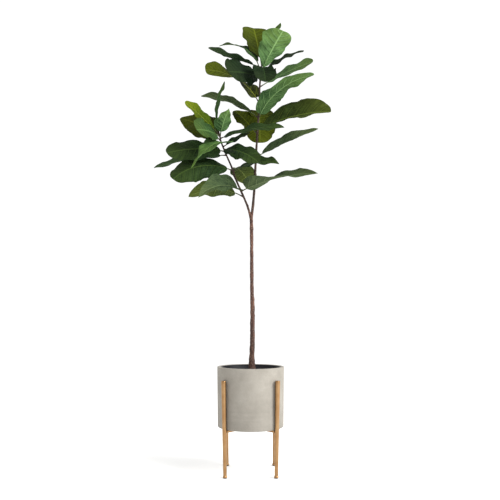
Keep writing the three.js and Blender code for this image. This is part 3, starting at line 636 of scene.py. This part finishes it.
POT = {"bottom": 203, "rim": 473, "rim_radius": 155, "bottom_radius": 151.5, "wall": 14.5,
       "floor": 14, "edge": 4, "sides": 160}
POLE = 8  # a profile stops this far from the axis, and a fan closes it
CORNER_POINTS = 7
SHARP = np.radians(40)  # edges steeper than this are left unsmoothed


def rounded_corner(radius, z, size, start):
    """A quarter circle round a centre, from a start in degrees, as radius and height."""
    turn = np.radians(start) + np.linspace(0, np.pi / 2, CORNER_POINTS)
    return np.stack([radius + size * np.cos(turn), z + size * np.sin(turn)], -1)


def turned_rings(profile, sides, step=12):
    """A profile of radius and height carried round the upright axis, with a ring at each of its
    points and more between them, no further apart than the step."""
    profile = np.concatenate([np.atleast_2d(p) for p in profile]).astype(float)
    gaps = np.linalg.norm(np.diff(profile, axis=0), axis=1)
    whole = np.concatenate([[0], np.cumsum(gaps)])
    parts = np.maximum(1, np.ceil(gaps / step)).astype(int)
    run = np.concatenate([np.linspace(a, b, n, endpoint=False)
                          for a, b, n in zip(whole, whole[1:], parts)] + [whole[-1:]])
    radius, z = (np.interp(run, whole, profile[:, i]) for i in (0, 1))
    turn = np.linspace(0, 2 * np.pi, sides, endpoint=False)
    x, y = radius[:, None] * np.cos(turn), radius[:, None] * np.sin(turn)
    return np.stack([x, y, np.broadcast_to(z[:, None], x.shape)], -1)


inner_rim = POT["rim_radius"] - POT["wall"]
lip = POT["edge"] / 2
pot_profile = [
    [POLE, POT["bottom"]],
    rounded_corner(POT["bottom_radius"] - POT["edge"], POT["bottom"] + POT["edge"], POT["edge"],
                   -90),
    rounded_corner(POT["rim_radius"] - lip, POT["rim"] - lip, lip, 0),
    rounded_corner(inner_rim + lip, POT["rim"] - lip, lip, 90),
    [POT["bottom_radius"] - POT["wall"], POT["bottom"] + POT["floor"]],
    [POLE, POT["bottom"] + POT["floor"]],
]
pot_mesh = loft_mesh("planter_shell", [turned_rings(pot_profile, POT["sides"])])
pot_mesh.set_sharp_from_angle(angle=SHARP)

# Cast concrete, sanded and sealed matt. The eye gets a warm pale grey with cloudy patches, fine
# sand grains, a few pinholes of 2 mm from air in the mould, and faint level bands near the base.
concrete = new_material("sanded_cast_concrete")
place = add_node(concrete, "TexCoord").outputs["Object"]
cloud = add_node(concrete, "TexNoise", [("Vector", place)],
                 [("Scale", 1 / (80 * MM)), ("Detail", 5), ("Roughness", 0.6)])
grey = add_node(concrete, "ValToRGB", [("Fac", cloud)],
                stops=[(0.3, "#868178"), (0.52, "#908b82"), (0.75, "#9a958c")])
sand = add_node(concrete, "TexNoise", [("Vector", place)],
                [("Scale", 1 / (2.2 * MM)), ("Detail", 3), ("Roughness", 0.7)])
speckle = add_node(concrete, "MapRange", [("Value", sand)],
                   zip(MAP_RANGE, (0.35, 0.65, 0.88, 1.06)))
height = add_node(concrete, "SeparateXYZ", [(0, place)]).outputs[2]
level = add_node(concrete, "Mapping", [("Vector", place)], [("Scale", (0.04, 0.04, 1))])
bands = add_node(concrete, "TexNoise", [("Vector", level)],
                 [("Scale", 1 / (9 * MM)), ("Detail", 2)])
low = add_node(concrete, "MapRange", [("Value", height)], zip(MAP_RANGE, (0.2, 0.33, 0.2, 0.05)))
banded = add_node(concrete, "Math", [(0, bands), (1, low)], operation="MULTIPLY")
shade = add_node(concrete, "Math", [(0, speckle), (1, banded)], operation="SUBTRACT")
cast = add_node(concrete, "Mix", [(6, grey), (7, shade)], [(0, 1.0)], data_type="RGBA",
                blend_type="MULTIPLY").outputs[2]
holes = add_node(concrete, "TexVoronoi", [("Vector", place)], [("Scale", 1 / (14 * MM))])
pinhole = add_node(concrete, "MapRange", [("Value", holes)], zip(MAP_RANGE, (0.03, 0.08, 0, 1)))
surface = add_node(concrete, "Math", [(0, sand), (1, pinhole)], operation="ADD")
bump = add_node(concrete, "Bump", [("Height", surface)],
                [("Strength", 0.3), ("Distance", 0.5 * MM)])
shader = add_node(concrete, "BsdfPrincipled", [("Base Color", cast), ("Normal", bump)],
                  [("Roughness", 0.85), ("IOR", 1.5), ("Specular IOR Level", 0.35)])
add_node(concrete, "OutputMaterial", [("Surface", shader)])
add_piece("planter_shell", pot_mesh, ["pot"], [concrete])

# ------------------------------------------------------------
# Liner. A thin black nursery liner that sits inside the pot, a little below its rim, with a
# small lip turned inwards. Moulded in one piece, it holds the soil.

LINER = {"wall": 2, "lip": 4, "below_rim": 1.5, "clearance": 0.6, "inset": 6, "gap": 0.3,
         "outer_bevel": (0.6, 1), "inner_bevel": 0.5, "sides": 128}


def liner_radius(z):
    """Outer radius at a height. It tapers more than the pot does."""
    heights = [POT["bottom"] + POT["floor"], POT["rim"]]
    low = POT["bottom_radius"] - POT["wall"] - LINER["inset"]
    return np.interp(z, heights, [low, inner_rim - LINER["clearance"]])


liner_top = POT["rim"] - LINER["below_rim"]
liner_low = POT["bottom"] + POT["floor"] + LINER["gap"]
lip_low = liner_top - LINER["lip"]
liner_rim = liner_radius(liner_top)
down, across = LINER["outer_bevel"]
liner_profile = [
    [POLE, liner_low], [liner_radius(liner_low), liner_low],
    [liner_rim - down, liner_top - down], [liner_rim - across, liner_top],
    [liner_rim - LINER["lip"] + LINER["inner_bevel"], liner_top],
    [liner_rim - LINER["lip"], liner_top - LINER["inner_bevel"]],
    [liner_radius(lip_low) - LINER["lip"], lip_low],
    [liner_radius(lip_low) - LINER["wall"], lip_low - LINER["wall"]],
    [liner_radius(liner_low) - LINER["wall"], liner_low + LINER["wall"]],
    [POLE, liner_low + LINER["wall"]],
]
liner_mesh = loft_mesh("nursery_liner", [turned_rings(liner_profile, LINER["sides"])])
liner_mesh.set_sharp_from_angle(angle=SHARP)

# Polypropylene, injection moulded. The eye gets a blue black with a dull sheen and faint
# scuffs from handling.
polypropylene = new_material("moulded_polypropylene")
place = add_node(polypropylene, "TexCoord").outputs["Object"]
scuff = add_node(polypropylene, "TexNoise", [("Vector", place)],
                 [("Scale", 1 / (25 * MM)), ("Detail", 6), ("Roughness", 0.7)])
black = add_node(polypropylene, "ValToRGB", [("Fac", scuff)],
                 stops=[(0.4, "#121318"), (0.7, "#22242b")])
dull = add_node(polypropylene, "MapRange", [("Value", scuff)], [("To Min", 0.32), ("To Max", 0.6)])
shader = add_node(polypropylene, "BsdfPrincipled", [("Base Color", black), ("Roughness", dull)],
                  [("IOR", 1.49)])
add_node(polypropylene, "OutputMaterial", [("Surface", shader)])
add_piece("nursery_liner", liner_mesh, ["liner"], [polypropylene])

# ------------------------------------------------------------
# Soil. Loose potting compost filled into the liner, heaped a little towards the trunk, with a
# crumbled top. The trunk stands in a plain blind hole.

SOIL = {"below_rim": 26, "crown": 5, "settled": 1.2, "sides": 220, "top_rings": 90,
        "side_rings": 20, "rim_share": 1 / 12}
SOIL_HOLE = {"middle": (6.0, 0.0), "mouth": 18.5, "heights": (440, 400, 331),
             "radii": (17.9, 15.3643, 12.9)}  # round the trunk's foot, from its mouth down
LUMPS = {"cell": 9, "height": 1.6, "seed": 21}
CRUMBS = {"cell": 3.6, "height": 1.8, "seed": 22}
soil_top = POT["rim"] - SOIL["below_rim"]
soil_edge = soil_top - SOIL["settled"]
soil_low = liner_low + LINER["wall"] + LINER["gap"]


def soil_radius(z):
    """Outer radius at a height, the gap inside the liner's wall."""
    return liner_radius(z) - LINER["wall"] - LINER["gap"]


def circles(radius, z, middle):
    """Level circles of those radii round a middle, one at each height."""
    turn = np.linspace(0, 2 * np.pi, SOIL["sides"], endpoint=False)
    radius, z = (np.asarray(a, float)[:, None] for a in (radius, z))
    x, y = middle[0] + radius * np.cos(turn), middle[1] + radius * np.sin(turn)
    return np.stack([x, y, np.broadcast_to(z, x.shape)], -1)


def soil_rings():
    """Up the side, over the heap's top, which is a low cone with lumps and crumbs of noise on it,
    in to the trunk, then down the hole's wall. The fan closes the hole's floor."""
    side_z = np.linspace(soil_low, soil_edge, SOIL["side_rings"])
    outer, mouth = soil_radius(soil_top), SOIL_HOLE["mouth"]
    radius = np.linspace(outer, mouth, SOIL["top_rings"])
    share = (outer - radius[:, None]) / (outer - mouth)
    top = circles(radius, np.zeros_like(radius), [at * share for at in SOIL_HOLE["middle"]])
    lumps, crumbs = (lattice_noise(top, size["cell"], size["seed"]) for size in (LUMPS, CRUMBS))
    rough = lumps * LUMPS["height"] + np.abs(crumbs) * CRUMBS["height"]
    top[..., 2] = (soil_edge + SOIL["crown"] * share
                   + rough * np.clip(share / SOIL["rim_share"], 0, 1))
    return np.concatenate([
        circles(soil_radius(side_z), side_z, (0, 0)), top[1:],
        circles(SOIL_HOLE["radii"], SOIL_HOLE["heights"], SOIL_HOLE["middle"])])


# Peat and bark compost, loose. The eye gets a matt black brown with lighter fibres and chips of
# 3 to 10 mm.
compost = new_material("loose_compost")
place = add_node(compost, "TexCoord").outputs["Object"]
chips = add_node(compost, "TexVoronoi", [("Vector", place)], [("Scale", 1 / (6 * MM))])
chip_tone = add_node(compost, "SeparateXYZ", [(0, chips.outputs["Color"])])
brown = add_node(compost, "ValToRGB", [("Fac", chip_tone)],
                 stops=[(0.2, "#171210"), (0.7, "#2c231d"), (0.95, "#57463a")])
crumb = add_node(compost, "TexNoise", [("Vector", place)], [("Scale", 1 / (3 * MM)), ("Detail", 5)])
bump = add_node(compost, "Bump", [("Height", crumb)], [("Strength", 0.8), ("Distance", 1.5 * MM)])
shader = add_node(compost, "BsdfPrincipled", [("Base Color", brown), ("Normal", bump)],
                  [("Roughness", 0.95), ("IOR", 1.4)])
add_node(compost, "OutputMaterial", [("Surface", shader)])
add_piece("compost_fill", loft_mesh("compost_fill", [soil_rings()]), ["soil"], [compost])

# ------------------------------------------------------------
# Stand. Four round tapered legs with a small flared foot, and two flat bars that cross under the
# pot with a half lap. The legs are welded to the bars' ends, and all of it is plated and satin
# polished. Each foot stands on a black rubber pad.

LEG = {"top": 420, "top_radius": 11.2, "ankle_radius": 8, "foot_radius": 10.2, "foot_height": 7,
       "top_spread": 169.6, "foot_spread": 158.5, "sole": 2, "foot_edge": 1.2, "top_edge": 4,
       "sides": 40, "step": 20}
FLARE = (("foot_radius", 0, -2.5), ("foot_radius", -0.5, -1.6), ("ankle_radius", 0.5, 0.4),
         ("ankle_radius", 0, 2))  # a radius, what is added to it, and the height from the ankle
PAD = {"thickness": 3, "radius": 8.4, "edge": 0.5, "pole": 3, "sides": 32}
BAR = {"width": 16, "height": 9, "worn_edge": 0.8, "edge_segments": 3}
STAND_GAP = 0.3
CORNERS = ("back_right", "back_left", "front_left", "front_right")


def spun(points, degrees):
    """Points turned about the pot's upright axis."""
    c, s = np.cos(np.radians(degrees)), np.sin(np.radians(degrees))
    x, y, z = np.moveaxis(points, -1, 0)
    return np.stack([x * c - y * s, x * s + y * c, z], -1)


def leg_rings():
    """The leg's profile turned round its own axis, leaned outwards and moved out to its foot."""
    low, ankle = PAD["thickness"] + 2 * STAND_GAP, PAD["thickness"] + LEG["foot_height"]
    foot, edge, top_edge = LEG["foot_radius"], LEG["foot_edge"], LEG["top_edge"]
    rings = turned_rings([
        [foot - LEG["sole"], low], rounded_corner(foot - edge, low + edge, edge, -90),
        *([LEG[radius] + more, ankle + up] for radius, more, up in FLARE),
        rounded_corner(LEG["top_radius"] - top_edge, LEG["top"] - top_edge, top_edge, 0),
    ], LEG["sides"], LEG["step"])
    lean = np.arctan((LEG["top_spread"] - LEG["foot_spread"]) / LEG["top"])
    x, y, z = np.moveaxis(rings, -1, 0)
    return np.stack([x * np.cos(lean) + z * np.sin(lean) + LEG["foot_spread"], y,
                     z * np.cos(lean) - x * np.sin(lean)], -1)


def bar_mesh(name, notch_above, degrees):
    """A flat bar's outline with its half-lap notch, drawn out to the bar's width."""
    top = POT["bottom"] - STAND_GAP
    low = top - BAR["height"]
    spread = LEG["foot_spread"] + (LEG["top_spread"] - LEG["foot_spread"]) * low / LEG["top"]
    share = (top - PAD["thickness"] - LEG["foot_height"]) / (LEG["top"] - LEG["foot_height"])
    leg_radius = LEG["ankle_radius"] + share * (LEG["top_radius"] - LEG["ankle_radius"])
    end = spread - leg_radius - STAND_GAP
    middle = (top + low) / 2 - STAND_GAP / 2 * (1 if notch_above else -1)
    half = BAR["width"] / 2 + STAND_GAP
    corners = [[-end, low], [end, low], [end, top], [half, top], [half, middle], [-half, middle],
               [-half, top], [-end, top]]
    if not notch_above:
        corners = [[-end, low], [-half, low], [-half, middle], [half, middle], [half, low],
                   [end, low], [end, top], [-end, top]]
    x, z = np.array(corners, float).T
    count = len(x)
    near = np.stack([x, np.full(count, -BAR["width"] / 2), z], -1)
    points = np.concatenate([near, near * [1, -1, 1]])
    i = np.arange(count)
    k = (i + 1) % count
    faces = [list(range(count)), list(range(2 * count - 1, count - 1, -1)),
             *np.stack([i + count, k + count, k, i], -1).tolist()]
    mesh = bpy.data.meshes.new(name)
    mesh.from_pydata(spun(points, degrees) * MM + AXIS, [], faces)
    return mesh


# Gilt plate on steel, satin polished. The eye gets a warm rose gold with soft stretched
# reflections, drawn fine lines along the legs, and slightly duller patches from handling.
gilt = new_material("satin_gilt_plate")
place = add_node(gilt, "TexCoord").outputs["Object"]
drawn = add_node(gilt, "Mapping", [("Vector", place)], [("Scale", (1, 1, 0.03))])
lines = add_node(gilt, "TexNoise", [("Vector", drawn)], [("Scale", 1 / (1.2 * MM)), ("Detail", 3)])
patches = add_node(gilt, "TexNoise", [("Vector", place)], [("Scale", 1 / (40 * MM)), ("Detail", 4)])
gold = add_node(gilt, "ValToRGB", [("Fac", patches)], stops=[(0.35, "#93704b"), (0.65, "#a2815b")])
dull = add_node(gilt, "MapRange", [("Value", patches)], [("To Min", 0.22), ("To Max", 0.42)])
bump = add_node(gilt, "Bump", [("Height", lines)], [("Strength", 0.12), ("Distance", 0.1 * MM)])
shader = add_node(gilt, "BsdfPrincipled",
                  [("Base Color", gold), ("Roughness", dull), ("Normal", bump)],
                  [("Metallic", 1.0)])
add_node(gilt, "OutputMaterial", [("Surface", shader)])

# Nitrile rubber, moulded. The eye gets a soft black, grey with dust in small patches.
rubber = new_material("moulded_rubber")
place = add_node(rubber, "TexCoord").outputs["Object"]
dust = add_node(rubber, "TexNoise", [("Vector", place)], [("Scale", 1 / (4 * MM)), ("Detail", 4)])
black = add_node(rubber, "ValToRGB", [("Fac", dust)], stops=[(0.4, "#161514"), (0.75, "#2e2b29")])
shader = add_node(rubber, "BsdfPrincipled", [("Base Color", black)],
                  [("Roughness", 0.75), ("IOR", 1.52)])
add_node(rubber, "OutputMaterial", [("Surface", shader)])

edge = PAD["edge"]
pad_profile = [[PAD["pole"], 0], rounded_corner(PAD["radius"] - edge, edge, edge, -90),
               rounded_corner(PAD["radius"] - edge, PAD["thickness"] - edge, edge, 0),
               [PAD["pole"], PAD["thickness"]]]
for i, corner in enumerate(CORNERS):
    turn = 45 + 90 * i
    leg = loft_mesh("gilt_leg_" + corner, [spun(leg_rings(), turn)])
    leg.set_sharp_from_angle(angle=SHARP)
    add_piece("gilt_leg_" + corner, leg, ["stand_leg_" + corner], [gilt])
    pad_rings = turned_rings(pad_profile, PAD["sides"]) + [LEG["foot_spread"], 0, 0]
    pad = loft_mesh("rubber_pad_" + corner, [spun(pad_rings, turn)])
    add_piece("rubber_pad_" + corner, pad, ["foot_pad_" + corner], [rubber])
for i, name in enumerate(("rising", "falling")):
    crossbar = add_piece("gilt_bar_" + name, bar_mesh("gilt_bar_" + name, i == 0, 45 + 90 * i),
                         ["stand_bar_" + name], [gilt])
    worn = crossbar.modifiers.new("worn_edges", "BEVEL")
    worn.width = BAR["worn_edge"] * MM
    worn.segments = BAR["edge_segments"]

# ------------------------------------------------------------
# Studio. A plain pale floor that runs back under a white sky, one broad key light from the right
# and a little from the front, and the camera low in front of the plant.

FLOOR_REACH = 12.0
SKY_STRENGTH = 1.06
KEY = {"place": (3.6, -2.03, 3.2), "target": (0, -0.03, 1.1), "size": 2.4, "power": 330}
CAMERA = {"place": (0.044, -2.794, 0.697), "degrees_up": 6.52, "lens": 42.77, "sensor": 36}

floor_mesh = bpy.data.meshes.new("studio_floor")
floor_mesh.from_pydata([(x * FLOOR_REACH, y * FLOOR_REACH, 0)
                        for x, y in ((-1, -1), (1, -1), (1, 1), (-1, 1))], [], [(0, 1, 2, 3)])
floor = bpy.data.objects.new("studio_floor", floor_mesh)
scene.collection.objects.link(floor)
pale = new_material("pale_painted_floor")
shader = add_node(pale, "BsdfPrincipled", (),
                  [("Base Color", linear("#fcfcfb")), ("Roughness", 0.8)])
add_node(pale, "OutputMaterial", [("Surface", shader)])
floor_mesh.materials.append(pale)

world = bpy.data.worlds.new("white_sky")
scene.world = world
world.use_nodes = True
sky = world.node_tree.nodes["Background"].inputs
sky["Color"].default_value = linear("#ffffff")
sky["Strength"].default_value = SKY_STRENGTH

key_data = bpy.data.lights.new("key", "AREA")  # a square soft box, turned to face its target
key_data.size = KEY["size"]
key_data.energy = KEY["power"]
key = bpy.data.objects.new("key", key_data)
scene.collection.objects.link(key)
key.location = KEY["place"]
towards = np.array(KEY["target"]) - np.array(KEY["place"])
azimuth = np.arctan2(towards[1], towards[0])
tilt = np.arctan2(np.hypot(*towards[:2]), -towards[2])
key.rotation_euler = (tilt, 0, azimuth - np.pi / 2)

camera_data = bpy.data.cameras.new("camera")
camera_data.sensor_width = CAMERA["sensor"]
camera_data.lens = CAMERA["lens"]
camera = bpy.data.objects.new("camera", camera_data)
scene.collection.objects.link(camera)
camera.location = CAMERA["place"]
camera.rotation_euler = (np.radians(90 + CAMERA["degrees_up"]), 0, 0)
scene.camera = camera
scene.view_settings.view_transform = "Standard"
